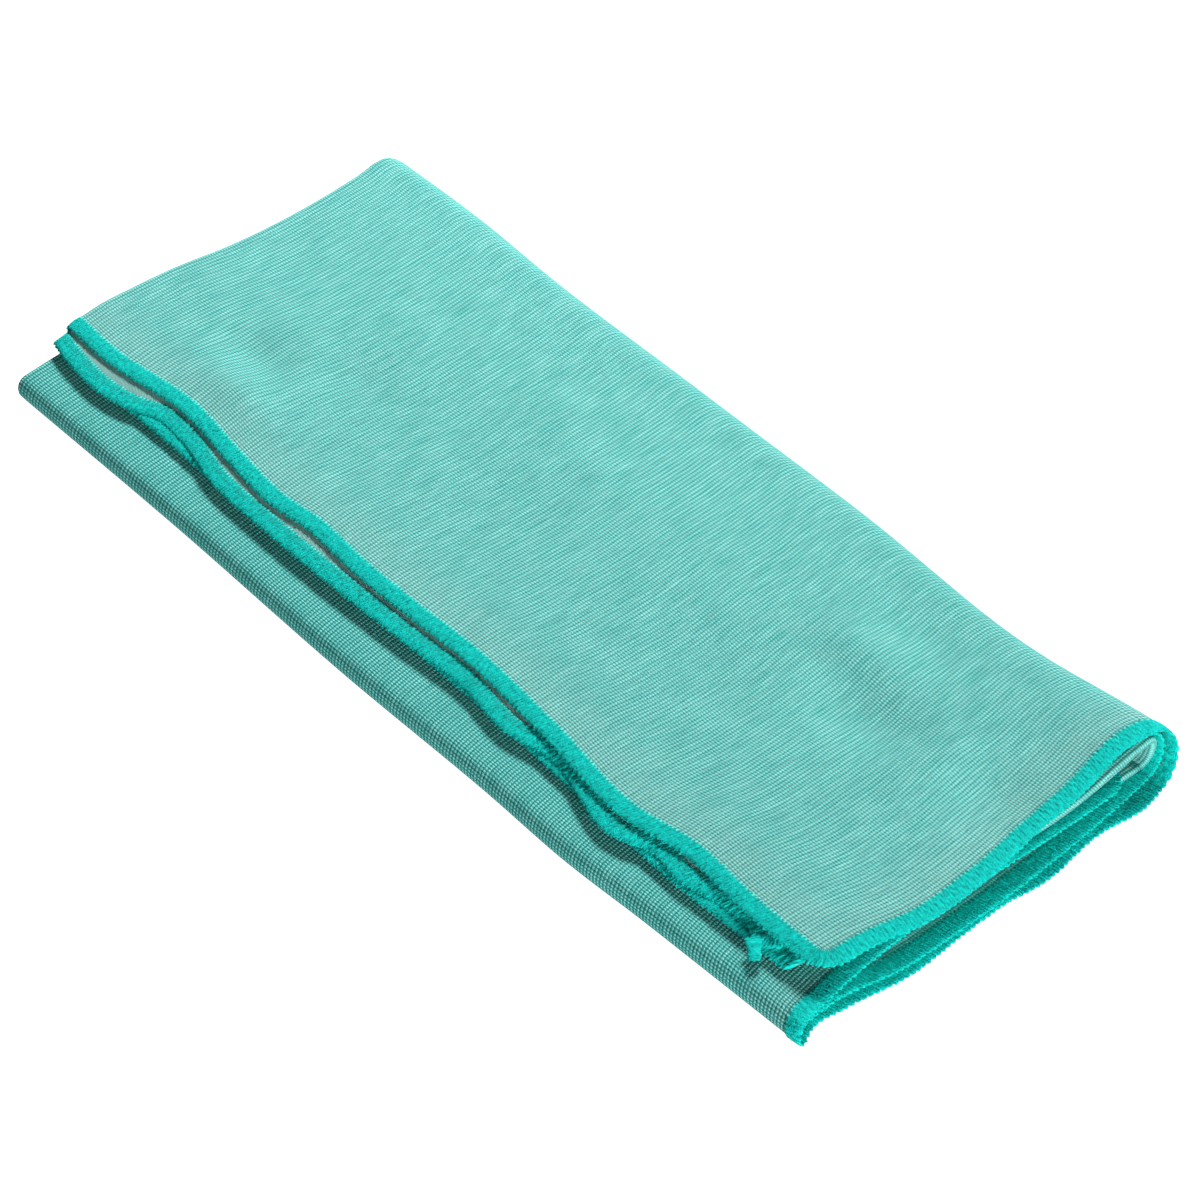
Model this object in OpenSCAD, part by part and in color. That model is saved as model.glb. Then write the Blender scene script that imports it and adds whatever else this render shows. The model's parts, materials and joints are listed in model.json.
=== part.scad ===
// Quick-dry towel. It is folded in half across its length, in half again, and then lengthwise in thirds.
// X runs along the folded towel: the double end fold is at -X, and the towel's two short ends are at +X.
// Y runs across it: the near fold is at -Y and the far fold is at +Y. Z is up, from the surface it lies on.
// Plies are numbered 1 to 4 from the outside in. Plies 1 and 2 hold the short ends, and the first
// crosswise fold, here the centre fold, joins plies 3 and 4 beside those ends.

/* [Folded towel] */
// Length of the folded towel, from the end fold to the short ends
folded_length = 250; // [180:5:320]
// Width of the folded towel, from the near fold to the far fold
folded_width = 106; // [80:2:140]
// Distance from the near fold to the free edge of the flap's top ply
flap_set_back = 12; // [7:1:25]
// How far the edges of the flap's second and third plies show past its top ply
lower_ply_show = 4; // [0:0.5:5]
// Distance from the far fold to the free edge of the middle third
middle_set_back = 17; // [15:1:40]
// How far the second ply's short end lies inside the first one's
second_end_set_back = 2; // [0:0.5:6]
// How far the centre fold lies inside the short ends
centre_fold_set_back = 5; // [4.5:0.5:20]

/* [Cloth] */
// Thickness of one ply of cloth
ply_t = 0.6; // [0.4:0.05:0.8]
// Clear height between one ply and the next
ply_gap = 0.25; // [0.25:0.05:0.6]

/* [Edging] */
// Width of the overlocked edging
edging_w = 3.5; // [2.5:0.5:4]
// How much thicker the edging is than the cloth
edging_extra_t = 0.2; // [0.05:0.05:0.2]
// Radius of the towel's rounded corners
corner_r = 5.5; // [4.5:0.5:10]

/* [Flap] */
// Clearance between the two halves of the far fold, on each side of the hinge line
hinge_clearance = 0.2; // [0.15:0.05:0.3]

/* [Hidden] */
$fn = 96;
cloth_colour = [0.43, 0.79, 0.74];
edging_colour = [0.10, 0.76, 0.70];

pitch = ply_t + ply_gap;
edging_t = ply_t + edging_extra_t;
plies = 4;
levels = 3 * plies;

// Thirds of the towel, from the surface up
bottom = 0;
middle = 1;
flap = 2;

// Heights of the folds' centre lines, and where those lines run
near_z = (2 * plies * pitch - ply_gap) / 2;
near_y = -folded_width / 2 + near_z;
far_z = (levels * pitch - ply_gap) / 2;
far_y = folded_width / 2 - far_z;

// Turns around a fold, as seen along X. The two halves of the far fold stop short of the hinge line.
down = 0;
up = 180;
half_turn = 180;
gap_turn = asin(hinge_clearance / (far_ply_r(plies) - ply_t / 2));
quarter_turn = 90 - gap_turn;

// Ends of the plies along X
outer_fold_r = (3 * pitch + ply_t) / 2;
inner_fold_r = (pitch + ply_t) / 2;
end_x = -folded_length / 2 + outer_fold_r;
centre_fold_x = folded_length / 2 - centre_fold_set_back - inner_fold_r;

// Level of a ply, counted up from the surface: the middle third is turned over, and so is the flap
function level(third, ply) =
    third == bottom ? ply - 1 : third == middle ? 2 * plies - ply : levels - ply;

// Height of the underside of a ply
function ply_z(third, ply) = level(third, ply) * pitch;

// Height of the underside of the edging, whose outer side is level with the ply's outer side
function edging_z(third, ply) = ply_z(third, ply) - (third == bottom ? 0 : edging_extra_t);

// Radius of the middle of a ply on the near fold and on the far fold
function near_ply_r(ply) = (plies + 0.5 - ply) * pitch;
function far_ply_r(ply) = (levels / 2 + 0.5 - ply) * pitch;

// Where the short end of ply 1 or 2 is
function short_end(ply) = folded_length / 2 - (ply == 2 ? second_end_set_back : 0);

// Where a flat ply's cloth stops at +X
function cloth_end(ply) = ply <= 2 ? short_end(ply) - edging_w : centre_fold_x;

// Free long edge of a ply: the flap's lie at the near side, the middle third's at the far side
function free_y(third, ply) =
    third == middle ? folded_width / 2 - middle_set_back
    : -folded_width / 2 + flap_set_back - (ply == 2 || ply == 3 ? lower_ply_show : 0);

// Where a third's cloth goes into the fold that the free edge is across from
function fold_y(third) = third == middle ? near_y : far_y;

// Outline of a ply with a free long edge at free, a rounded corner and a short end.
// It is drawn with the whole outline moved in by inset, so that it also gives the line inside the edging.
module cornered_outline(end, free, fold, inset) {
    r = corner_r - inset;
    translate([end_x, free])
        scale([1, sign(fold - free)])
            union() {
                translate([0, inset + r])
                    square([end - inset - end_x, abs(fold - free) - inset - r]);
                translate([0, inset])
                    square([end - inset - r - end_x, r + 1]);
                translate([end - inset - r - end_x, inset + r])
                    circle(r);
            }
}

// A flat ply of the bottom third, which has a fold along both long sides
module bottom_ply(ply) {
    color(cloth_colour)
        translate([end_x, near_y, ply_z(bottom, ply)])
            cube([cloth_end(ply) - end_x, far_y - near_y, ply_t]);
}

// The edging on the short end of ply 1 or 2 of the bottom third
module bottom_edging(ply) {
    color(edging_colour)
        translate([short_end(ply) - edging_w, near_y, edging_z(bottom, ply)])
            cube([edging_w, far_y - near_y, edging_t]);
}

// A flat ply of the middle third or the flap, which has a free long edge
module free_ply(third, ply) {
    color(cloth_colour)
        translate([0, 0, ply_z(third, ply)])
            linear_extrude(ply_t)
                if (ply <= 2)
                    cornered_outline(short_end(ply), free_y(third, ply), fold_y(third), edging_w);
                else
                    straight_strip(third, ply, edging_w, abs(fold_y(third) - free_y(third, ply)));
}

// Its edging: round the corner on plies 1 and 2, and along the free edge only on plies 3 and 4
module free_edging(third, ply) {
    color(edging_colour)
        translate([0, 0, edging_z(third, ply)])
            linear_extrude(edging_t)
                if (ply <= 2)
                    difference() {
                        cornered_outline(short_end(ply), free_y(third, ply), fold_y(third), 0);
                        cornered_outline(short_end(ply), free_y(third, ply), fold_y(third), edging_w);
                    }
                else
                    straight_strip(third, ply, 0, edging_w);
}

// A strip along a free edge, between two distances in from that edge
module straight_strip(third, ply, from, to) {
    translate([end_x, free_y(third, ply)])
        scale([1, sign(fold_y(third) - free_y(third, ply))])
            translate([0, from])
                square([centre_fold_x - end_x, to - from]);
}

// Half of a ring one ply thick. side is -1 for the half at -X and 1 for the half at +X.
module half_ring(outer_r, side) {
    difference() {
        circle(outer_r);
        circle(outer_r - ply_t);
        translate([side > 0 ? -outer_r - 1 : 0, -outer_r - 1])
            square([outer_r + 1, 2 * outer_r + 2]);
    }
}

// A half tube along Y, where the flat plies of a third turn back. z is the height of its middle.
module flat_turn(third, x, z, outer_r, side) {
    ends = third == bottom ? [near_y, far_y] : [free_y(third, 1) + sign(fold_y(third)) * edging_w, fold_y(third)];
    color(cloth_colour)
        translate([x, min(ends), z])
            rotate([-90, 0, 0])
                linear_extrude(max(ends) - min(ends))
                    half_ring(outer_r, side);
}

// Height halfway between two plies of a third
function between(third, ply_a, ply_b) = (ply_z(third, ply_a) + ply_z(third, ply_b) + ply_t) / 2;

// The turns of a third's flat plies: 1 to 4 and 2 to 3 at the end fold, and 3 to 4 at the centre fold
module outer_end_fold(third) { flat_turn(third, end_x, between(third, 1, 4), outer_fold_r, -1); }
module inner_end_fold(third) { flat_turn(third, end_x, between(third, 2, 3), inner_fold_r, -1); }
module centre_fold(third) { flat_turn(third, centre_fold_x, between(third, 3, 4), inner_fold_r, 1); }

// Sweeps an outline, drawn as radius and place along X, around a long fold
module around_fold(y, z, from, sweep) {
    translate([0, y, z])
        rotate([0, 90, 0])
            rotate([0, 0, from])
                rotate_extrude(angle = sweep)
                    children();
}

module around_near_fold() {
    around_fold(near_y, near_z, up, half_turn) children();
}

module around_far_fold_lower() {
    around_fold(far_y, far_z, down, quarter_turn) children();
}

module around_far_fold_upper() {
    around_fold(far_y, far_z, up - quarter_turn, quarter_turn) children();
}

// Outlines on a long fold, for a ply whose middle is at radius r
module fold_ply(r, ply) {
    color(cloth_colour)
        translate([r - ply_t / 2, end_x])
            square([ply_t, cloth_end(ply) - end_x]);
}

module fold_edging(r, ply) {
    color(edging_colour)
        translate([r + ply_t / 2 - edging_t, short_end(ply) - edging_w])
            square([edging_t, edging_w]);
}

module fold_turn(r, x, outer_r, side) {
    color(cloth_colour)
        translate([r, x])
            rotate(90)
                half_ring(outer_r, side);
}

module fold_outer_end(r) { fold_turn(r, end_x, outer_fold_r, -1); }
module fold_inner_end(r) { fold_turn(r, end_x, inner_fold_r, -1); }
module fold_centre(r) { fold_turn(r, centre_fold_x, inner_fold_r, 1); }

// Bottom third, which lies on the surface
for (ply = [1:plies]) {
    bottom_ply(ply);
}
for (ply = [1:2]) {
    bottom_edging(ply);
}
outer_end_fold(bottom);  // bottom_outer_end_fold
inner_end_fold(bottom);  // bottom_inner_end_fold
centre_fold(bottom);  // bottom_centre_fold

// Near fold
for (ply = [1:plies]) {
    around_near_fold() fold_ply(near_ply_r(ply), ply);
}
for (ply = [1:2]) {
    around_near_fold() fold_edging(near_ply_r(ply), ply);
}
around_near_fold() fold_outer_end(near_ply_r(2.5));  // near_fold_outer_end_fold
around_near_fold() fold_inner_end(near_ply_r(2.5));  // near_fold_inner_end_fold
around_near_fold() fold_centre(near_ply_r(3.5));  // near_fold_centre_fold

// Middle third, whose free edge lies inside the far fold
for (ply = [1:plies]) {
    free_ply(middle, ply);
    free_edging(middle, ply);
}
outer_end_fold(middle);  // middle_outer_end_fold
inner_end_fold(middle);  // middle_inner_end_fold
centre_fold(middle);  // middle_centre_fold

// Lower half of the far fold, which stays with the bottom third
for (ply = [1:plies]) {
    around_far_fold_lower() fold_ply(far_ply_r(ply), ply);
}
for (ply = [1:2]) {
    around_far_fold_lower() fold_edging(far_ply_r(ply), ply);
}
around_far_fold_lower() fold_outer_end(far_ply_r(2.5));  // far_fold_lower_outer_end_fold
around_far_fold_lower() fold_inner_end(far_ply_r(2.5));  // far_fold_lower_inner_end_fold
around_far_fold_lower() fold_centre(far_ply_r(3.5));  // far_fold_lower_centre_fold

// Upper half of the far fold, which lifts with the flap
for (ply = [1:plies]) {
    around_far_fold_upper() fold_ply(far_ply_r(ply), ply);
}
for (ply = [1:2]) {
    around_far_fold_upper() fold_edging(far_ply_r(ply), ply);
}
around_far_fold_upper() fold_outer_end(far_ply_r(2.5));  // far_fold_upper_outer_end_fold
around_far_fold_upper() fold_inner_end(far_ply_r(2.5));  // far_fold_upper_inner_end_fold
around_far_fold_upper() fold_centre(far_ply_r(3.5));  // far_fold_upper_centre_fold

// Flap, which is the top third
for (ply = [1:plies]) {
    free_ply(flap, ply);
    free_edging(flap, ply);
}
outer_end_fold(flap);  // flap_outer_end_fold
inner_end_fold(flap);  // flap_inner_end_fold
centre_fold(flap);  // flap_centre_fold
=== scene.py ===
import json
import math

import bpy
import numpy as np
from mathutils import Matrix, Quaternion, Vector


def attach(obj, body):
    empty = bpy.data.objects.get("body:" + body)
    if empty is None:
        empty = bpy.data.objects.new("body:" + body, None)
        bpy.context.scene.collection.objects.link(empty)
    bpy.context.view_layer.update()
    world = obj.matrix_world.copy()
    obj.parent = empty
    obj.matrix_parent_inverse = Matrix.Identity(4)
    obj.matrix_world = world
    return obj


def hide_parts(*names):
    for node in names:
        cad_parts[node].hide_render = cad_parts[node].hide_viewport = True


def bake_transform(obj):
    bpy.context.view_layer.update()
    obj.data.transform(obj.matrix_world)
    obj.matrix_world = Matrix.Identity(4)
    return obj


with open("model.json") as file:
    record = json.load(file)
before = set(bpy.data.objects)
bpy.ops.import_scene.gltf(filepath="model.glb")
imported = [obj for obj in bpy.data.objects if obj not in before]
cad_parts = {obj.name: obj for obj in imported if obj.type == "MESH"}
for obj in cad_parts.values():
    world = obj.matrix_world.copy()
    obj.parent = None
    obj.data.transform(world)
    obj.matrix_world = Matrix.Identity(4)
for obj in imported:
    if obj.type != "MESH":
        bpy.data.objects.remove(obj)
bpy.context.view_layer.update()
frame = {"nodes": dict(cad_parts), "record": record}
print("frame loaded:", len(frame["nodes"]), "nodes")

# Sizes are in metres, in the frame of the CAD model, and plies are listed from 1, the outermost, to 4.
towel = {
    "leg": 0.246,               # length of each of the four plies between the crosswise folds
    "outerTurn": 0.0041,        # cloth that goes round the end fold from ply 1 to ply 4
    "innerTurn": 0.0013,        # cloth that goes round the other two crosswise folds
    "flapWidth": 0.0866,        # top third, from its free edge to the far fold
    "farFold": 0.0134,          # cloth that goes round the far fold
    "bottomWidth": 0.097,
    "nearFold": 0.0079,
    "middleWidth": 0.0909,      # middle third, from the near fold to its free edge
    "thickness": 0.00048,
    "cornerRadius": 0.0055,
}
towelWidth = sum(towel[part] for part in ("flapWidth", "farFold", "bottomWidth", "nearFold", "middleWidth"))
towelLength = 4 * towel["leg"] + towel["outerTurn"] + 2 * towel["innerTurn"]
farStart = towel["flapWidth"]
farStop = farStart + towel["farFold"]
nearStart = farStop + towel["bottomWidth"]
nearStop = nearStart + towel["nearFold"]
splitWidth = farStop            # where the base's cloth meets the flap's, hidden under the fold

# How the towel lies. Lines along X are listed (x, y), and ends are (place across the cloth, x).
lie = {
    "bottomHeight": (0.0007, 0.0014, 0.0021, 0.0028),
    "middleHeight": (0.0058, 0.00505, 0.0043, 0.00355),
    "flapHeight": (0.01015, 0.00905, 0.0082, 0.0074),
    "farLine": [(-0.128, 0.0536), (-0.0915, 0.0536), (-0.061, 0.0521), (-0.012, 0.0516), (0.0366, 0.0511),
                (0.0915, 0.049), (0.1067, 0.05), (0.128, 0.0515)],
    "nearLine": [(-0.128, -0.0564), (-0.061, -0.0546), (0.0, -0.054), (0.0427, -0.0525), (0.0671, -0.0522),
                 (0.0872, -0.0507), (0.1055, -0.0496), (0.128, -0.0483)],
    "farRoll": 0.0043,          # in from the far line, where the height of the far fold is taken
    "farDepth": 0.006,          # the most that the far fold sticks out past the flat cloth
    # free long edges of the flap's four plies, and how far each sinks there
    "flapEdge": (
        [(-0.128, -0.0388), (-0.1085, -0.0394), (-0.0823, -0.0366), (-0.061, -0.0386), (-0.0464, -0.0396),
         (-0.0329, -0.0383), (-0.0183, -0.0389), (0.0, -0.0384), (0.0165, -0.0374), (0.0457, -0.0388),
         (0.0707, -0.0409), (0.0854, -0.0384), (0.1024, -0.0392), (0.128, -0.0384)],
        [(-0.128, -0.0426), (-0.1128, -0.0453), (-0.0994, -0.0454), (-0.0939, -0.0443), (-0.086, -0.0412),
         (-0.078, -0.0411), (-0.0591, -0.0442), (-0.0427, -0.0444), (0.0049, -0.0426), (0.022, -0.0414),
         (0.0372, -0.0428), (0.0482, -0.0407), (0.0738, -0.0441), (0.0793, -0.0418), (0.0884, -0.0424),
         (0.0988, -0.0405), (0.1055, -0.0401), (0.1092, -0.0421)],
        [(-0.128, -0.043), (-0.1128, -0.0442), (-0.0854, -0.0434), (-0.0305, -0.0432), (0.0305, -0.0417),
         (0.061, -0.0423), (0.0884, -0.043), (0.1, -0.0424), (0.128, -0.0408)],
        [(-0.128, -0.039), (0.128, -0.038)],
    ),
    "droop": (0.0006, 0.00095, 0.0008, 0.00025),
    "droopWidth": 0.0067,
    "droopPast": 0.0006,        # how far past the free edge the droop still grows
    "middleEdge": 0.0385,
    # the two short ends at +X, and the centre fold beside them
    "shortEnd": (
        [(0.0, 0.1241), (0.0122, 0.1254), (0.0226, 0.1275), (0.0348, 0.1275), (0.0433, 0.1268),
         (0.0531, 0.1253), (0.0665, 0.1244), (0.0866, 0.1235), (0.0933, 0.1252), (0.1, 0.1274),
         (0.106, 0.1286), (0.118, 0.1276), (0.136, 0.1292), (0.1454, 0.1282), (0.157, 0.1284),
         (0.172, 0.1289), (0.186, 0.1268), (0.194, 0.1262), (0.2, 0.1286), (0.206, 0.1272),
         (0.216, 0.1258), (0.2958, 0.1258)],
        [(0.0, 0.1135), (0.0244, 0.1171), (0.0549, 0.1208), (0.0854, 0.1223), (0.0933, 0.1229),
         (0.1, 0.1241), (0.122, 0.1264), (0.157, 0.1277), (0.172, 0.1273), (0.186, 0.1248),
         (0.2, 0.1252), (0.216, 0.1242), (0.2958, 0.1244)],
    ),
    "centreFold": [(0.0, 0.1175), (0.0122, 0.1192), (0.0366, 0.1215), (0.0519, 0.1236), (0.0732, 0.1241),
                   (0.0866, 0.123), (0.0933, 0.1222), (0.1, 0.1222), (0.122, 0.1218), (0.2013, 0.1215),
                   (0.2958, 0.121)],
    # the end fold at -X
    "endFold": [(0.0, -0.1243), (0.0037, -0.1247), (0.0095, -0.1254), (0.018, -0.1252), (0.0262, -0.1249),
                (0.0435, -0.1227), (0.0634, -0.1225), (0.0793, -0.124), (0.0872, -0.1252),
                (0.0933, -0.1218), (0.1, -0.1238), (0.122, -0.1244), (0.183, -0.122), (0.197, -0.1203),
                (0.2013, -0.1198), (0.205, -0.1203), (0.2196, -0.122), (0.2958, -0.1238)],
    "outerFoldDepth": 0.0013,
    "innerFoldDepth": 0.00045,
    "innerFoldInset": 0.0009,
    "ripple": 0.0002,           # the stack's gentle unevenness
    # rises and dimples of the whole stack: x, y, width along X, width along Y, height at the top ply
    "swells": [(0.122, 0.0415, 0.0215, 0.0134, 0.0031), (0.104, -0.0305, 0.0183, 0.0122, 0.0007),
               (-0.0878, -0.014, 0.009, 0.0065, -0.0015), (-0.078, -0.024, 0.012, 0.005, 0.0011),
               (-0.0665, -0.0037, 0.009, 0.007, -0.0009), (0.0488, -0.003, 0.014, 0.009, -0.0007),
               (0.083, 0.011, 0.011, 0.008, -0.0019), (0.07, 0.0225, 0.012, 0.006, 0.0015),
               (0.1143, 0.0146, 0.007, 0.008, -0.0014), (0.1, 0.012, 0.005, 0.012, 0.0009),
               (0.0748, 0.0345, 0.009, 0.007, -0.0008), (-0.012, 0.018, 0.036, 0.012, 0.0006),
               (-0.0976, 0.0305, 0.0183, 0.0152, 0.0006)],
}


def smoothLine(t, points):
    # A smooth line through listed points.
    xs, ys = np.array(points, float).T
    slopes = np.gradient(ys, xs)
    i = np.clip(np.searchsorted(xs, t) - 1, 0, len(xs) - 2)
    gap = xs[i + 1] - xs[i]
    q = np.clip((t - xs[i]) / gap, 0, 1)
    return (ys[i] * (1 + 2 * q) * (1 - q) ** 2 + ys[i + 1] * q * q * (3 - 2 * q)
            + gap * (slopes[i] * q * (1 - q) ** 2 - slopes[i + 1] * q * q * (1 - q)))


def swell(x, y):
    # Height that the top of the stack gains or loses.
    rise = sum(high * np.exp(-((x - cx) / wx) ** 2 - ((y - cy) / wy) ** 2)
               for cx, cy, wx, wy, high in lie["swells"])
    return rise + lie["ripple"] * np.sin(51 * x + 15 * y) * np.sin(77 * y - 20 * x + 1.3)


def level(third, ply, x, y):
    # Swells fade towards the surface that the towel lies on.
    height = lie[third + "Height"][ply]
    return height + swell(x, y) * (height / lie["flapHeight"][0]) ** 2


def foldOver(centreY, side, low, high, turn, flatness):
    # From the high level round to the low one as turn goes from 0 to 1.
    depth = flatness * (high - low) / 2
    y = centreY + side * depth * np.sin(math.pi * turn)
    z = (high + low) / 2 + (high - low) / 2 * np.cos(math.pi * turn)
    return y, z


def crossSection(x, v, ply):
    # Height and place across of a ply at a place along X, v being the place across the cloth.
    farOut = smoothLine(x, lie["farLine"])
    nearOut = smoothLine(x, lie["nearLine"])
    rollY = farOut - lie["farRoll"]
    farRadius = (level("flap", 0, x, rollY) - level("bottom", 0, x, rollY)) / 2
    nearRadius = (level("middle", 0, x, nearOut) - level("bottom", 0, x, nearOut)) / 2
    farDepth = np.minimum(farRadius, lie["farDepth"])
    farY = farOut - farDepth
    nearY = nearOut + nearRadius
    freeEdge = smoothLine(x, lie["flapEdge"][ply])

    flapY = freeEdge + (farY - freeEdge) * v / farStart
    fromEdge = np.maximum(flapY - freeEdge, -lie["droopPast"])
    sink = lie["droop"][ply] * np.exp(-fromEdge / lie["droopWidth"])
    flapZ = level("flap", ply, x, flapY) - sink
    farTurn = np.clip((v - farStart) / towel["farFold"], 0, 1)
    farFoldY, farFoldZ = foldOver(farY, 1, level("bottom", ply, x, farY), level("flap", ply, x, farY),
                                  farTurn, farDepth / farRadius)
    bottomY = farY + (nearY - farY) * (v - farStop) / towel["bottomWidth"]
    bottomZ = level("bottom", ply, x, bottomY)
    nearTurn = np.clip((v - nearStart) / towel["nearFold"], 0, 1)
    nearFoldY, nearFoldZ = foldOver(nearY, -1, level("bottom", ply, x, nearY),
                                    level("middle", ply, x, nearY), 1 - nearTurn, 1)
    middleY = nearY + (lie["middleEdge"] - nearY) * (v - nearStop) / towel["middleWidth"]
    middleZ = level("middle", ply, x, middleY)

    parts = [v < farStart, v < farStop, v < nearStart, v < nearStop]
    y = np.select(parts, [flapY, farFoldY, bottomY, nearFoldY], middleY)
    z = np.select(parts, [flapZ, farFoldZ, bottomZ, nearFoldZ], middleZ)
    return y, z


def placeOnTowel(s, v):
    # s runs along the cloth from one short end to the other, and v across it from the flap's free edge.
    s, v = np.broadcast_arrays(s, v)
    outerFold = smoothLine(v, lie["endFold"]) + lie["outerFoldDepth"]
    innerFold = outerFold + lie["innerFoldInset"]
    centreFold = smoothLine(v, lie["centreFold"]) - lie["innerFoldDepth"]
    firstEnd = smoothLine(v, lie["shortEnd"][0])
    secondEnd = smoothLine(v, lie["shortEnd"][1])
    # each run of cloth: its first and last ply, its length, where it starts and stops along X, its bulge
    runs = [(0, 0, towel["leg"], firstEnd, outerFold, 0),
            (0, 3, towel["outerTurn"], outerFold, outerFold, -lie["outerFoldDepth"]),
            (3, 3, towel["leg"], outerFold, centreFold, 0),
            (3, 2, towel["innerTurn"], centreFold, centreFold, lie["innerFoldDepth"]),
            (2, 2, towel["leg"], centreFold, innerFold, 0),
            (2, 1, towel["innerTurn"], innerFold, innerFold, -lie["innerFoldDepth"]),
            (1, 1, towel["leg"], innerFold, secondEnd, 0)]
    place = np.zeros(s.shape + (3,))
    begin = 0
    for number, (fromPly, toPly, length, fromX, toX, bulge) in enumerate(runs):
        here = ((s >= begin) | (number == 0)) & ((s < begin + length) | (number == len(runs) - 1))
        q = (s[here] - begin) / length
        x = fromX[here] + (toX[here] - fromX[here]) * q + bulge * np.sin(math.pi * np.clip(q, 0, 1))
        y, z = crossSection(x, v[here], fromPly)
        if toPly != fromPly:
            share = (1 - np.cos(math.pi * q)) / 2
            lastY, lastZ = crossSection(x, v[here], toPly)
            y = y + (lastY - y) * share
            z = z + (lastZ - z) * share
        place[here] = np.stack([x, y, z], -1)
        begin += length
    return place


def offTowel(s, v, height):
    # Points at some height off the cloth's middle, on its face side.
    step = 0.0002
    along = placeOnTowel(s + step, v) - placeOnTowel(s - step, v)
    across = placeOnTowel(s, v + step) - placeOnTowel(s, v - step)
    normal = np.cross(across, along)
    normal /= np.linalg.norm(normal, axis=-1, keepdims=True)
    return placeOnTowel(s, v) + normal * np.asarray(height)[..., None]


def makeMesh(name, points, faces, uvPoints, uvName):
    mesh = bpy.data.meshes.new(name)
    mesh.from_pydata([tuple(p) for p in points], [], faces)
    layer = mesh.uv_layers.new(name=uvName)
    corners = np.empty(len(mesh.loops), int)
    mesh.loops.foreach_get("vertex_index", corners)
    layer.data.foreach_set("uv", uvPoints[corners].astype(np.float32).ravel())
    piece = bpy.data.objects.new(name, mesh)
    bpy.context.collection.objects.link(piece)
    for polygon in mesh.polygons:
        polygon.use_smooth = True
    return piece


def gridFaces(rows, columns, flip=False):
    faces = []
    for r in range(rows - 1):
        for c in range(columns - 1):
            a = r * columns + c
            face = (a, a + 1, a + columns + 1, a + columns)
            faces.append(face[::-1] if flip else face)
    return faces


def steps(start, stop, cell):
    count = max(2, int(round((stop - start) / cell)) + 1)
    return np.linspace(start, stop, count)


def joined(*runs):
    return np.unique(np.round(np.concatenate(runs), 7))


cloth = {
    "cell": 0.0026,
    "longFoldCell": 0.0012,
    "turnCells": 8,             # round each crosswise fold
    "hem": 0.0013,              # how far the cloth stops inside the edging's outer edge
}


def roundCorners(s, v, radius, inset):
    # Draws the grid's corners in to the towel's rounded ones.
    reach = radius - inset
    for cs in (radius, towelLength - radius):
        for cv in (radius, towelWidth - radius):
            ds, dv = s - cs, v - cv
            outward = (ds * (cs - towelLength / 2) > 0) & (dv * (cv - towelWidth / 2) > 0)
            far = np.hypot(ds, dv)
            shrink = np.where(outward & (far > reach), reach / np.maximum(far, 1e-9), 1)
            s, v = cs + ds * shrink, cv + dv * shrink
    return s, v


def makeCloth(name, vStart, vStop):
    leg, hem = towel["leg"], cloth["hem"]
    lines = []
    begin, stop = hem, leg
    for turn in (towel["outerTurn"], towel["innerTurn"], towel["innerTurn"]):
        lines.append(steps(begin, stop, cloth["cell"]))
        lines.append(np.linspace(stop, stop + turn, cloth["turnCells"] + 1))
        begin = stop + turn
        stop = begin + leg
    lines.append(steps(begin, towelLength - hem, cloth["cell"]))
    sLine = joined(*lines)
    folds = [v for v in (farStart, farStop, nearStart, nearStop) if vStart < v < vStop]
    bounds = [vStart, *folds, vStop]
    runs = []
    for low, high in zip(bounds[:-1], bounds[1:]):
        folded = low in (farStart, nearStart)
        runs.append(steps(low, high, cloth["longFoldCell"] if folded else cloth["cell"]))
    vLine = joined(*runs)
    s, v = np.meshgrid(sLine, vLine, indexing="ij")
    s, v = roundCorners(s, v, towel["cornerRadius"], hem)
    points = placeOnTowel(s, v).reshape(-1, 3)
    uv = np.stack([s, v], -1).reshape(-1, 2)
    return makeMesh(name, points, gridFaces(len(sLine), len(vLine)), uv, "cloth")


clothBase = makeCloth("clothBase", splitWidth, towelWidth - cloth["hem"])
clothFlap = makeCloth("clothFlap", cloth["hem"], splitWidth)
print("cloth folded")

edging = {
    "width": 0.0038,
    "stitch": 0.0014,           # along the edge, from one stitch to the next
    "ringsPerStitch": 5,
    "halfThickness": 0.00038,
    "scallop": 0.0004,          # how far the stitches bulge past the edge
    "scallopReach": 0.35,       # share of the width that the scallops reach across
    "roundness": 0.7,           # a lower power makes the stitches fuller
    "plump": (0.88, 0.2),       # share of the thickness between stitches, and what a stitch adds
    "fluff": 0.00006,
    "seed": 5,
    "slant": 0.8,               # of a stitch, across the width of the edging
    "ladder": 0.00105,          # between the looper's threads on the reverse side
    # distance in from the edge as a share of the width, and height as a share of the half thickness
    "outline": [(1.0, 0.5), (0.94, 0.88), (0.75, 1.02), (0.5, 1.06), (0.25, 0.96), (0.06, 0.6), (-0.02, 0.0),
                (0.06, -0.6), (0.25, -0.96), (0.5, -1.06), (0.75, -1.02), (0.94, -0.88), (1.0, -0.5)],
}


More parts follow.
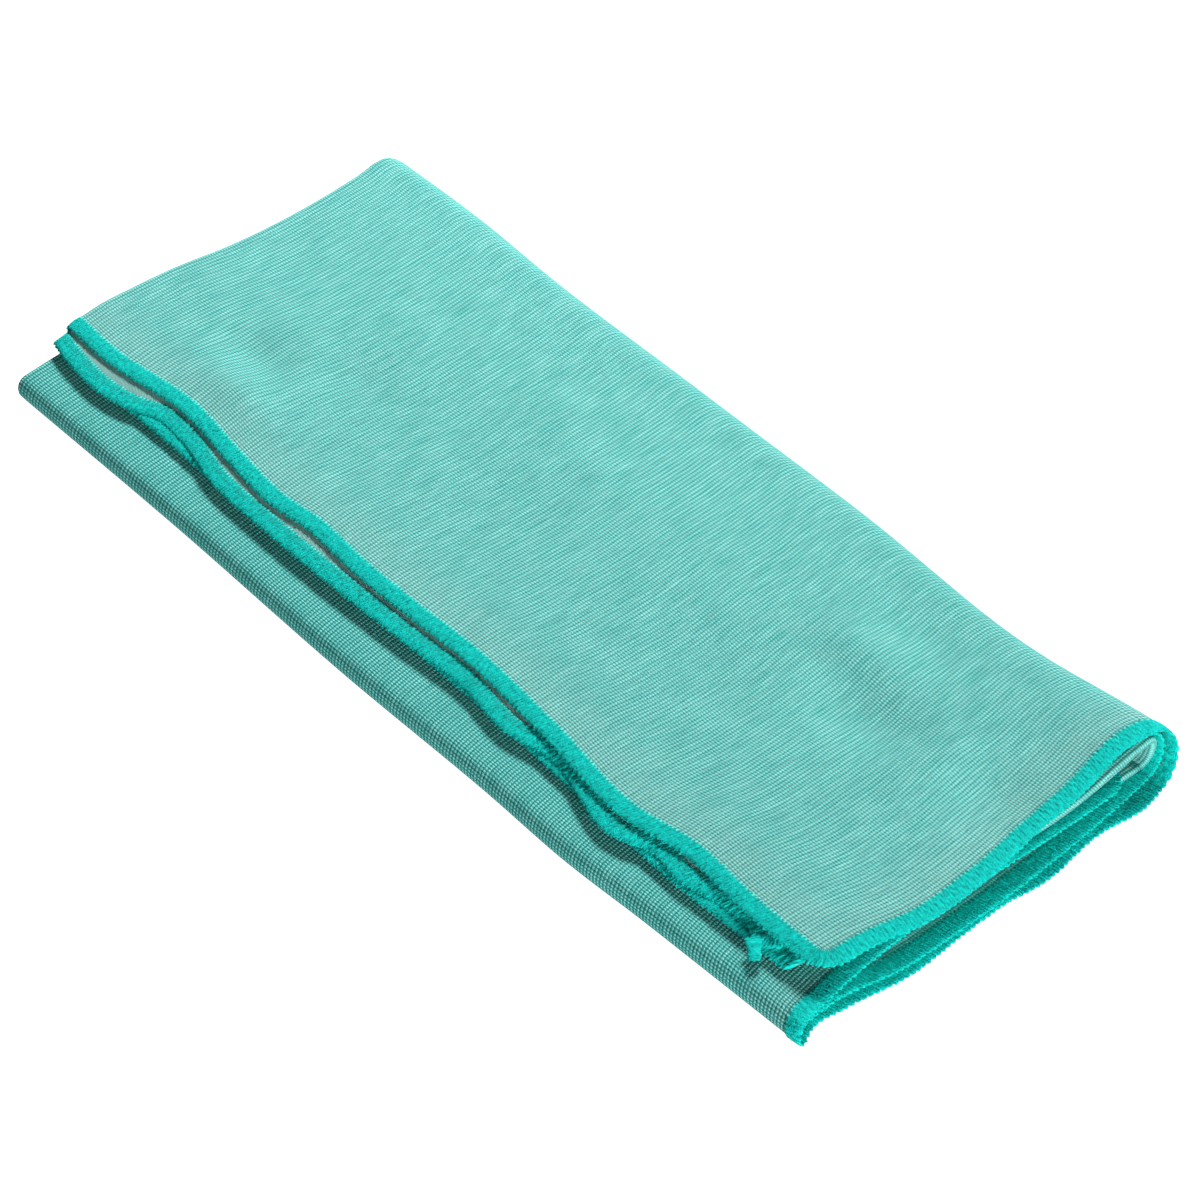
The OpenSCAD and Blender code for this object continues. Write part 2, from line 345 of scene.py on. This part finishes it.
def perimeter(depth, spacing):
    # Place, inward direction and distance along the edge, round one long side and its two corners.
    length, radius = towelLength, towel["cornerRadius"]
    quarter = math.pi * radius / 2
    run = [depth - radius, quarter, length - 2 * radius, quarter, depth - radius]
    total = sum(run)
    t = np.linspace(0, total, int(total / spacing) + 1)
    ends = np.cumsum(run)
    firstTurn = math.pi + (t - ends[0]) / radius
    lastTurn = 1.5 * math.pi + (t - ends[2]) / radius
    parts = [t < ends[0], t < ends[1], t < ends[2], t < ends[3]]
    zero, one = np.zeros_like(t), np.ones_like(t)
    s = np.select(parts, [zero, radius + radius * np.cos(firstTurn), radius + t - ends[1],
                          length - radius + radius * np.cos(lastTurn)], length * one)
    v = np.select(parts, [depth - t, radius + radius * np.sin(firstTurn), zero,
                          radius + radius * np.sin(lastTurn)], radius + t - ends[3])
    inS = np.select(parts, [one, -np.cos(firstTurn), zero, -np.cos(lastTurn)], -one)
    inV = np.select(parts, [zero, -np.sin(firstTurn), one, -np.sin(lastTurn)], zero)
    return s, v, inS, inV, t


edgingInward, edgingHeight = np.array(edging["outline"]).T
edgingInward = edgingInward * edging["width"]
edgingHeight = edgingHeight * edging["halfThickness"]
edgingAcross = np.concatenate([[0], np.cumsum(np.hypot(np.diff(edgingInward), np.diff(edgingHeight)))])
edgingRound = float(edgingAcross[-1])


def makeEdging(name, depth, mirrored):
    s, v, inS, inV, t = perimeter(depth, edging["stitch"] / edging["ringsPerStitch"])
    inward, height = edgingInward[None, :], edgingHeight[None, :]
    phase = t[:, None] / edging["stitch"] + edging["slant"] * np.sign(height) * inward / edging["width"]
    bulge = np.abs(np.sin(math.pi * phase)) ** edging["roundness"]
    edgeShare = np.clip(1 - inward / (edging["scallopReach"] * edging["width"]), 0, 1)
    inward = inward - edging["scallop"] * bulge * edgeShare
    height = height * (edging["plump"][0] + edging["plump"][1] * bulge)
    loose = np.random.default_rng(edging["seed"]).normal(0, edging["fluff"], (2, *inward.shape))
    inward = inward + loose[0]
    height = height + loose[1]
    gridS = s[:, None] + inS[:, None] * inward
    gridV = v[:, None] + inV[:, None] * inward
    if mirrored:
        gridV = towelWidth - gridV
    points = offTowel(gridS, gridV, height).reshape(-1, 3)
    rows, columns = len(t), len(edgingAcross)
    uv = np.stack(np.meshgrid(t, edgingAcross, indexing="ij"), -1).reshape(-1, 2)
    faces = gridFaces(rows, columns, flip=mirrored)
    for r in range(rows - 1):
        a = r * columns
        face = (a + columns - 1, a, a + columns, a + 2 * columns - 1)
        faces.append(face[::-1] if mirrored else face)
    faces.append(tuple(range(columns))[::1 if mirrored else -1])
    faces.append(tuple((rows - 1) * columns + c for c in range(columns))[::-1 if mirrored else 1])
    return makeMesh(name, points, faces, uv, "thread")


def selectOnly(piece):
    bpy.ops.object.select_all(action="DESELECT")
    piece.select_set(True)
    bpy.context.view_layer.objects.active = piece


edgingFlap = makeEdging("edgingFlap", splitWidth, False)
edgingBase = makeEdging("edgingBase", towelWidth - splitWidth, True)

tail = {
    "start": (0.1088, -0.0415, 0.0086),
    "stop": (0.1121, -0.0444, 0.0078),
    "width": (0.0018, 0.001),   # half its width at the corner and at the tip
    "height": 0.0004,           # half its thickness
    "unevenness": 0.12,
    "seed": 9,
    "length": 0.005,
    "rings": 9,
    "sides": 14,
}


def makeTail():
    # The short tail of thread that the overlocker leaves at the corner of the flap's second ply.
    start, stop = Vector(tail["start"]), Vector(tail["stop"])
    side = (stop - start).cross(Vector((0, 0, 1))).normalized()
    rng = np.random.default_rng(tail["seed"])
    points, uv = [], []
    for ring in range(tail["rings"]):
        q = ring / (tail["rings"] - 1)
        centre = start.lerp(stop, q)
        wide = tail["width"][0] + (tail["width"][1] - tail["width"][0]) * q
        full = 1 + tail["unevenness"] * math.sin(9 * q)
        for turn in range(tail["sides"]):
            angle = 2 * math.pi * turn / tail["sides"]
            out = side * wide * full * math.cos(angle) + Vector((0, 0, tail["height"] * math.sin(angle)))
            points.append(centre + out + Vector(rng.normal(0, edging["fluff"], 3)))
            uv.append((q * tail["length"], edgingRound * (0.3 + 0.4 * turn / tail["sides"])))
    faces = []
    for ring in range(tail["rings"] - 1):
        for turn in range(tail["sides"]):
            a, b = ring * tail["sides"] + turn, ring * tail["sides"] + (turn + 1) % tail["sides"]
            faces.append((a, b, b + tail["sides"], a + tail["sides"]))
    faces.append(tuple(range(tail["sides"]))[::-1])
    faces.append(tuple(range((tail["rings"] - 1) * tail["sides"], tail["rings"] * tail["sides"])))
    return makeMesh("threadTail", points, faces, np.array(uv), "thread")


threadTail = makeTail()
selectOnly(edgingFlap)
threadTail.select_set(True)
bpy.ops.object.join()
print("edging sewn")

# Colours are linear. Pitches, sizes and depths are in metres, and a size is (along, across) the towel.
look = {
    "rib": (0.30, 0.90, 0.84),
    "ribDeep": (0.01, 0.42, 0.385),
    "valley": (0.0, 0.13, 0.115),
    "warp": (0.17, 0.19, 0.17),  # the dull thread that shows between the ribs
    # painted shade: the deeper teal of the gaps round the near fold, where it turns from the light
    "shadedFoldGap": (0.0, 0.17, 0.15),
    "worn": (0.42, 0.74, 0.70),
    "ribPitch": 0.00098,
    "ribSpread": 0.14,          # how much further apart the ribs are at the end fold than the average
    "loopPitch": 0.00061,
    "drift": 0.0003,            # how far the ribs wander
    "driftSize": (0.02, 0.012),
    "streak": 0.5,              # share of deeper colour in the fine streaks along the ribs
    "streakSize": (0.0007, 0.008),
    "patch": 0.18,              # share of deeper colour in the broad patches
    "patchSize": (0.009, 0.009),
    "fibreSize": (0.0003, 0.0003),
    "dull": 0.6,                # share of warp showing in the gaps
    "dullSize": (0.0012, 0.006),
    "marginReach": (0.004, 0.016),  # from the edge to where the paler margin starts and stops fading
    "marginWear": 0.3,
    "foldStretchShadeReach": (0.013, 0.024),  # from the near fold's middle, likewise
    "stretched": 0.1,           # how far the ribs open where the cloth is stretched round the near fold; the extra dark gap that shows there is partly painted shade
    "ribDepth": 0.00012,
    "reverseThread": (0.40, 0.84, 0.77),
    "reverseGap": (0.11, 0.17, 0.165),
    "reversePitch": 0.00045,
    "reversePatch": 0.3,
    "reversePatchSize": (0.006, 0.006),
    "reverseDepth": 0.00008,
    "edgingLight": (0.0, 0.77, 0.68),
    "edgingDark": (0.0, 0.29, 0.26),
    "mottleSize": (0.0008, 0.001),
    "tuft": (0.05, 0.95, 0.85),
    "tuftSize": (0.00022, 0.00022),
    "needleThread": (0.20, 0.90, 0.82),
    "needleGap": (0.03, 0.30, 0.27),
    "needleLine": (0.82, 0.9),  # where the needle's line starts, from the edge (0) to the inner side (1)
    "edgingDepth": 0.0002,
}


def newGroup(name, inputs, outputs):
    # inputs and outputs are (name, socket type) pairs
    group = bpy.data.node_groups.new(name, "ShaderNodeTree")
    for label, kind in inputs:
        group.interface.new_socket(label, in_out="INPUT", socket_type=kind)
    for label, kind in outputs:
        group.interface.new_socket(label, in_out="OUTPUT", socket_type=kind)
    return group


def addNode(tree, kind, inputs=None, **settings):
    # A node with its settings, and its inputs given by name or number as values or as sockets.
    made = tree.nodes.new(kind)
    for key, value in settings.items():
        setattr(made, key, value)
    for key, value in (inputs or {}).items():
        if isinstance(value, bpy.types.NodeSocket):
            tree.links.new(value, made.inputs[key])
        else:
            made.inputs[key].default_value = value
    return made


def maths(tree, operation, *values):
    return addNode(tree, "ShaderNodeMath", dict(enumerate(values)), operation=operation).outputs[0]


def mixColour(tree, factor, first, second, blend="MIX"):
    colours = [(*c, 1) if isinstance(c, tuple) else c for c in (first, second)]
    return addNode(tree, "ShaderNodeMix", {0: factor, 6: colours[0], 7: colours[1]},
                   data_type="RGBA", blend_type=blend).outputs[2]


def ramp(tree, value, low, high, start=0.0, stop=1.0):
    # Goes from start to stop while the value goes from low to high.
    return addNode(tree, "ShaderNodeMapRange", {0: value, 1: low, 2: high, 3: start, 4: stop}).outputs[0]


def makeWave():
    # A rounded wave from 0 to 1 along one coordinate.
    group = newGroup("threadWave", [("Place", "NodeSocketFloat"), ("Pitch", "NodeSocketFloat")],
                     [("Wave", "NodeSocketFloat")])
    start = addNode(group, "NodeGroupInput")
    turn = maths(group, "MULTIPLY", maths(group, "DIVIDE", start.outputs["Place"], start.outputs["Pitch"]),
                 2 * math.pi)
    wave = maths(group, "MULTIPLY_ADD", maths(group, "SINE", turn), 0.5, 0.5)
    addNode(group, "NodeGroupOutput", {"Wave": wave})
    return group


def makeFuzz():
    # Mottling of loose fibre, stretched by different amounts along and across.
    group = newGroup("fibreFuzz", [("Place", "NodeSocketVector"), ("Along", "NodeSocketFloat"),
                                   ("Across", "NodeSocketFloat")], [("Fuzz", "NodeSocketFloat")])
    start = addNode(group, "NodeGroupInput")
    split = addNode(group, "ShaderNodeSeparateXYZ", {0: start.outputs["Place"]})
    along = maths(group, "DIVIDE", split.outputs["X"], start.outputs["Along"])
    across = maths(group, "DIVIDE", split.outputs["Y"], start.outputs["Across"])
    scaled = addNode(group, "ShaderNodeCombineXYZ", {"X": along, "Y": across})
    noise = addNode(group, "ShaderNodeTexNoise", {"Vector": scaled.outputs[0], "Scale": 1.0, "Detail": 3.0})
    addNode(group, "NodeGroupOutput", {"Fuzz": ramp(group, noise.outputs[0], 0.3, 0.7)})
    return group


waveGroup = makeWave()
fuzzGroup = makeFuzz()


def wave(tree, place, pitch):
    made = addNode(tree, "ShaderNodeGroup", node_tree=waveGroup)
    tree.links.new(place, made.inputs["Place"])
    made.inputs["Pitch"].default_value = pitch
    return made.outputs["Wave"]


def fuzz(tree, place, size):
    made = addNode(tree, "ShaderNodeGroup", node_tree=fuzzGroup)
    tree.links.new(place, made.inputs["Place"])
    made.inputs["Along"].default_value = size[0]
    made.inputs["Across"].default_value = size[1]
    return made.outputs["Fuzz"]


def newMaterial(name, uvName, roughness):
    # The material, its tree and shader, and the place on the piece, whole and as its two coordinates.
    material = bpy.data.materials.new(name)
    material.use_nodes = True
    tree = material.node_tree
    shader = tree.nodes["Principled BSDF"]
    shader.inputs["Roughness"].default_value = roughness
    shader.inputs["Specular IOR Level"].default_value = 0.2
    place = addNode(tree, "ShaderNodeUVMap", uv_map=uvName).outputs[0]
    split = addNode(tree, "ShaderNodeSeparateXYZ", {0: place})
    return material, tree, shader, place, split.outputs["X"], split.outputs["Y"]


def relief(tree, shader, height, depth):
    bump = addNode(tree, "ShaderNodeBump", {"Height": height, "Distance": depth, "Strength": 1.0})
    tree.links.new(bump.outputs[0], shader.inputs["Normal"])


def makeFaceCloth():
    # Raised ribs across the towel, each a row of small knitted loops, over a duller warp.
    material, tree, shader, place, s, v = newMaterial("faceCloth", "cloth", 0.9)
    drift = maths(tree, "MULTIPLY", fuzz(tree, place, look["driftSize"]), look["drift"])
    # the ribs are further apart at the end fold and closer together at the open end
    turn = maths(tree, "SINE", maths(tree, "MULTIPLY", s, math.pi / towel["leg"]))
    spread = maths(tree, "MULTIPLY_ADD", turn, look["ribSpread"] * towel["leg"] / math.pi, drift)
    rib = wave(tree, maths(tree, "ADD", s, spread), look["ribPitch"])
    loop = wave(tree, maths(tree, "ADD", v, maths(tree, "MULTIPLY", drift, 0.6)), look["loopPitch"])
    crest = maths(tree, "MULTIPLY", maths(tree, "MULTIPLY_ADD", rib, 0.75, 0.25),
                  maths(tree, "MULTIPLY_ADD", loop, 0.75, 0.25))
    fibre = fuzz(tree, place, look["fibreSize"])
    streak = maths(tree, "MULTIPLY", fuzz(tree, place, look["streakSize"]), look["streak"])
    patch = maths(tree, "MULTIPLY", fuzz(tree, place, look["patchSize"]), look["patch"])
    body = mixColour(tree, streak, look["rib"], look["ribDeep"])
    body = mixColour(tree, patch, body, look["ribDeep"])
    # a paler, worn margin beside the edging
    margin = ramp(tree, maths(tree, "MINIMUM", s, v), *look["marginReach"], look["marginWear"], 0.0)
    body = mixColour(tree, margin, body, look["worn"])
    # round the near fold the ribs are stretched apart, so more of the darker gap shows, and the gaps there
    # are painted a deeper teal: partly real stretch, partly painted shade of the fold turning from the light
    fromFold = maths(tree, "ABSOLUTE", maths(tree, "SUBTRACT", v, (nearStart + nearStop) / 2))
    foldStretchAndShade = ramp(tree, fromFold, *look["foldStretchShadeReach"], 1.0, 0.0)
    dull = maths(tree, "MULTIPLY", fuzz(tree, place, look["dullSize"]), look["dull"])
    gap = mixColour(tree, dull, look["valley"], look["warp"])
    # painted shade: the gaps round the near fold take the deeper teal
    gap = mixColour(tree, foldStretchAndShade, gap, look["shadedFoldGap"])
    narrowing = maths(tree, "MULTIPLY_ADD", foldStretchAndShade, look["stretched"], 0.1)
    showing = maths(tree, "MULTIPLY_ADD", fibre, 0.3, maths(tree, "SUBTRACT", crest, narrowing))
    colour = mixColour(tree, ramp(tree, showing, 0.02, 0.62), gap, body)
    tree.links.new(colour, shader.inputs["Base Color"])
    relief(tree, shader, maths(tree, "MULTIPLY_ADD", fibre, 0.3, crest), look["ribDepth"])
    return material


def makeReverseCloth():
    # A flat mesh of slanted stitches.
    material, tree, shader, place, s, v = newMaterial("reverseCloth", "cloth", 0.9)
    first = wave(tree, maths(tree, "ADD", s, v), look["reversePitch"])
    second = wave(tree, maths(tree, "SUBTRACT", s, v), look["reversePitch"])
    crest = maths(tree, "MULTIPLY", first, second)
    fibre = fuzz(tree, place, look["fibreSize"])
    patch = maths(tree, "MULTIPLY", fuzz(tree, place, look["reversePatchSize"]), look["reversePatch"])
    body = mixColour(tree, patch, look["reverseThread"], look["ribDeep"])
    raised = maths(tree, "MULTIPLY_ADD", fibre, 0.3, maths(tree, "POWER", crest, 0.6))
    tree.links.new(mixColour(tree, raised, look["reverseGap"], body), shader.inputs["Base Color"])
    relief(tree, shader, maths(tree, "MULTIPLY_ADD", fibre, 0.4, crest), look["reverseDepth"])
    return material


def makeEdgingThread():
    # Fluffy thread in slanted stitches, with the needle's pale stitches along its inner side.
    material, tree, shader, place, t, around = newMaterial("edgingThread", "thread", 1.0)
    half = edgingRound / 2
    # 0 at the outer edge of the edging and 1 at its inner edges, on both sides
    depth = maths(tree, "DIVIDE", maths(tree, "ABSOLUTE", maths(tree, "SUBTRACT", around, half)), half)
    slant = maths(tree, "MULTIPLY", around, edging["slant"] * edging["stitch"] / edging["width"])
    stitch = wave(tree, maths(tree, "ADD", t, slant), edging["stitch"])
    strand = wave(tree, maths(tree, "SUBTRACT", t, slant), edging["stitch"] / 2)
    fibre = fuzz(tree, place, look["fibreSize"])
    mottle = fuzz(tree, place, look["mottleSize"])
    tone = maths(tree, "MULTIPLY_ADD", mottle, 0.6, maths(tree, "MULTIPLY", fibre, 0.35))
    tone = maths(tree, "MULTIPLY_ADD", stitch, 0.12, tone)
    tone = maths(tree, "MULTIPLY_ADD", strand, 0.14, tone)
    body = mixColour(tree, tone, look["edgingDark"], look["edgingLight"])
    tuft = ramp(tree, fuzz(tree, place, look["tuftSize"]), 0.72, 0.95)
    body = mixColour(tree, maths(tree, "MULTIPLY", tuft, 0.5), body, look["tuft"])
    inner = ramp(tree, depth, *look["needleLine"])
    needle = maths(tree, "GREATER_THAN", wave(tree, t, edging["stitch"] / 1.5), 0.55)
    thread = mixColour(tree, needle, look["needleGap"], look["needleThread"])
    body = mixColour(tree, maths(tree, "MULTIPLY", inner, 0.75), body, thread)
    # the looper's ladder shows on the reverse side only, between the needle line and the middle
    ladder = maths(tree, "LESS_THAN", wave(tree, t, edging["ladder"]), 0.3)
    reverse = maths(tree, "GREATER_THAN", around, half)
    onLadder = maths(tree, "MULTIPLY", maths(tree, "GREATER_THAN", depth, 0.5), reverse)
    shade = maths(tree, "MULTIPLY", maths(tree, "MULTIPLY", onLadder, ladder), 0.55)
    tree.links.new(mixColour(tree, shade, body, look["needleGap"]), shader.inputs["Base Color"])
    height = maths(tree, "MULTIPLY_ADD", strand, 0.4, maths(tree, "MULTIPLY", stitch, 0.5))
    height = maths(tree, "MULTIPLY_ADD", mottle, 0.8, maths(tree, "MULTIPLY_ADD", fibre, 0.6, height))
    relief(tree, shader, height, look["edgingDepth"])
    return material


def thicken(piece, thickness):
    selectOnly(piece)
    solid = piece.modifiers.new("thickness", "SOLIDIFY")
    solid.thickness = thickness
    solid.offset = 0
    solid.use_even_offset = True
    solid.material_offset = 1
    bpy.ops.object.modifier_apply(modifier=solid.name)


faceCloth = makeFaceCloth()
reverseCloth = makeReverseCloth()
edgingThread = makeEdgingThread()
for piece in (clothBase, clothFlap):
    piece.data.materials.append(faceCloth)
    piece.data.materials.append(reverseCloth)
    thicken(piece, towel["thickness"])
for piece in (edgingBase, edgingFlap):
    piece.data.materials.append(edgingThread)
print("materials made")

bodies = frame["record"]["behaviour"]["bodies"]
for piece, body, sewn in ((clothBase, "base", False), (edgingBase, "base", True),
                          (clothFlap, "flap", False), (edgingFlap, "flap", True)):
    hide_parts(*[node for node in bodies[body] if ("edging" in node) == sewn])
for piece in (clothBase, edgingBase):
    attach(piece, "base")
# the flap's cloth and edging have their placement baked into their meshes
for piece in (clothFlap, edgingFlap):
    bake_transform(piece)

studio = {
    "azimuth": 52.96,
    "elevation": 44.04,
    "roll": -3.49,
    "distance": 0.669,
    "lens": 99.4,
    "target": (0.01994, -0.00476, 0.0061),
    "floor": (0.3, 0.3, 0.3),
    "floorSize": 4,
    "floorGap": 0.0002,         # between the floor and the underside of the CAD model
    "floorGlow": 1.0,           # as the camera sees it
    "floorBounce": 0.4,         # as the towel sees it
    "sky": 0.09,
    # name, place, width and power
    "lights": [("key", (-0.45, 0.72, 0.7), 0.3, 18), ("fill", (1.07, -0.32, 0.14), 0.4, 15.5)],
}
bpy.ops.object.select_all(action="DESELECT")
bpy.ops.mesh.primitive_plane_add(size=studio["floorSize"], location=(0, 0, -studio["floorGap"]))
floor = bpy.context.object
floor.name = "floor"
floorMaterial = bpy.data.materials.new("paleFloor")
floorMaterial.use_nodes = True
floorTree = floorMaterial.node_tree
floorShader = floorTree.nodes["Principled BSDF"]
floorShader.inputs["Base Color"].default_value = (*studio["floor"], 1)
floorShader.inputs["Roughness"].default_value = 0.9
floorShader.inputs["Emission Color"].default_value = (1, 1, 1, 1)
seen = addNode(floorTree, "ShaderNodeLightPath").outputs["Is Camera Ray"]
glow = ramp(floorTree, seen, 0.0, 1.0, studio["floorBounce"], studio["floorGlow"])
floorTree.links.new(glow, floorShader.inputs["Emission Strength"])
floor.data.materials.append(floorMaterial)

azimuth, elevation = math.radians(studio["azimuth"]), math.radians(studio["elevation"])
forward = Vector((-math.sin(azimuth) * math.cos(elevation), math.cos(azimuth) * math.cos(elevation),
                  -math.sin(elevation)))
cameraData = bpy.data.cameras.new("camera")
camera = bpy.data.objects.new("camera", cameraData)
bpy.context.collection.objects.link(camera)
cameraData.lens = studio["lens"]
cameraData.sensor_width = 36
cameraData.clip_start = 0.05
camera.location = Vector(studio["target"]) - forward * studio["distance"]
camera.rotation_mode = "QUATERNION"
camera.rotation_quaternion = (forward.to_track_quat("-Z", "Y")
                              @ Quaternion((0, 0, 1), math.radians(studio["roll"])))
bpy.context.scene.camera = camera


def areaLight(name, place, width, power):
    # A round light that faces the towel.
    data = bpy.data.lights.new(name, "AREA")
    data.shape = "DISK"
    data.size = width
    data.energy = power
    light = bpy.data.objects.new(name, data)
    bpy.context.collection.objects.link(light)
    light.location = place
    light.rotation_mode = "QUATERNION"
    light.rotation_quaternion = (-Vector(place)).to_track_quat("-Z", "Y")


for light in studio["lights"]:
    areaLight(*light)
world = bpy.data.worlds.new("studio")
world.use_nodes = True
sky = world.node_tree.nodes["Background"]
sky.inputs["Color"].default_value = (1, 1, 1, 1)
sky.inputs["Strength"].default_value = studio["sky"]
bpy.context.scene.world = world
bpy.context.scene.view_settings.view_transform = "Standard"
print("studio ready")
